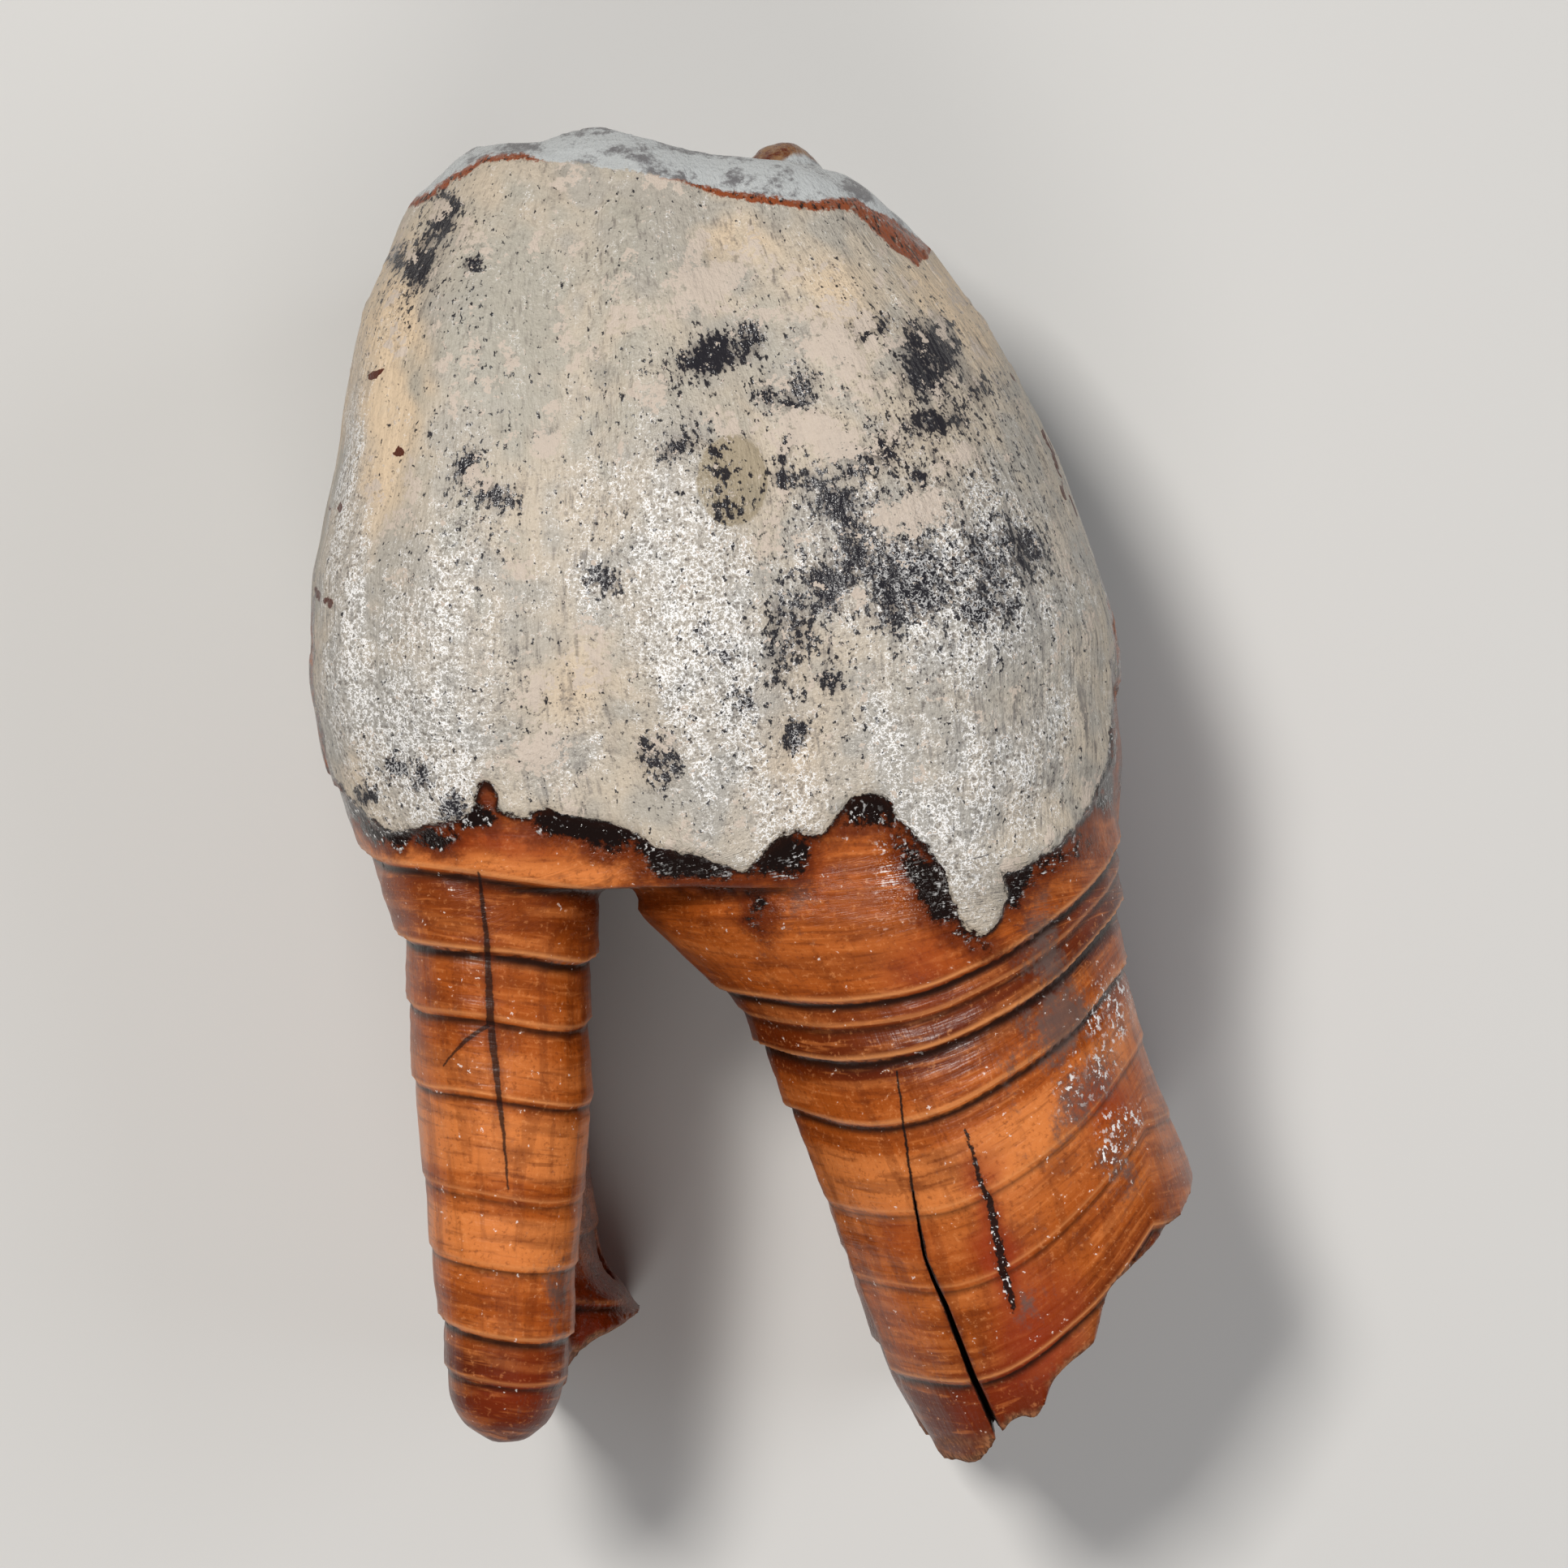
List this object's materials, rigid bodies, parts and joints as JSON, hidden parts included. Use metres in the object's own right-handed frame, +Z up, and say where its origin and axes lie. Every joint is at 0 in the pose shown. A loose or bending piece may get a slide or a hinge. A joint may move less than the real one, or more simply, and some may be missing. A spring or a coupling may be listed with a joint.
{
  "type": "fossil rhinoceros cheek tooth",
  "caption": "Worn upper cheek tooth of a woolly rhinoceros, a fossil with a pale crown and banded, broken roots, lying on its tongue side.",
  "frame": {"origin": "middle of the tooth's outline seen from above, on the surface it lies on", "axes": "+Y from the roots to the biting end, +Z up through the cheek side, +X towards the broken root"},
  "size_m": [0.0544, 0.0816, 0.0457],
  "materials": {
    "fossil_tooth": "glossy"
  },
  "bodies": {
    "root": {"rhino_tooth": "fossil_tooth"}
  },
  "joints": []
}
